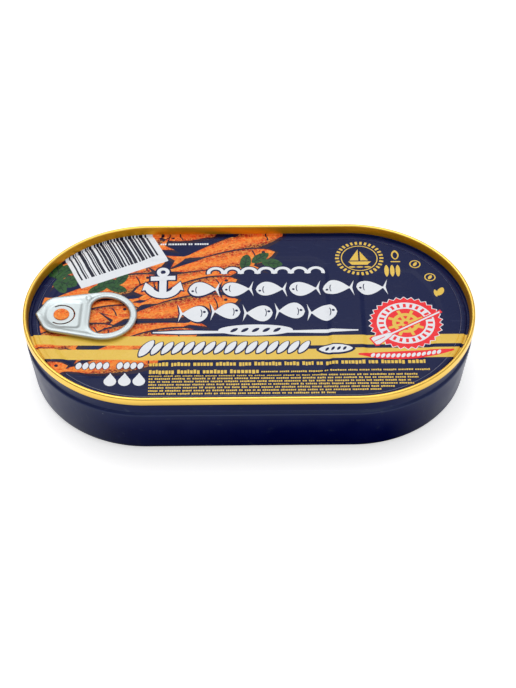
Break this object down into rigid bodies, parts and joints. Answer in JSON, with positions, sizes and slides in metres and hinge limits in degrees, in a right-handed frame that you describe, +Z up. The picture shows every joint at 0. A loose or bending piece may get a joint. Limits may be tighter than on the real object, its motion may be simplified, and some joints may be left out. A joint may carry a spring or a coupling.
{
  "type": "tin of sprats",
  "caption": "Shut oblong fish tin: tapered dark blue drawn body, gold double seam, printed dark blue lid and a bare metal ring pull.",
  "frame": {"origin": "middle of the underside, on the plane the foot ring stands on", "axes": "+X along the tin's length away from the pull tab's end, +Y across it to the back, +Z up through the lid"},
  "size_m": [0.148, 0.0814, 0.0268],
  "materials": {
    "navy_lacquer": "satin dark blue lacquer and print on tinplate",
    "gold_lacquer": "glossy clear gold lacquer on tinplate",
    "bare_aluminium": "bare, lightly brushed, curled edges"
  },
  "bodies": {
    "root": {"can_body": "navy_lacquer", "lid_end": "gold_lacquer", "pull_tab": "bare_aluminium"}
  },
  "joints": []
}
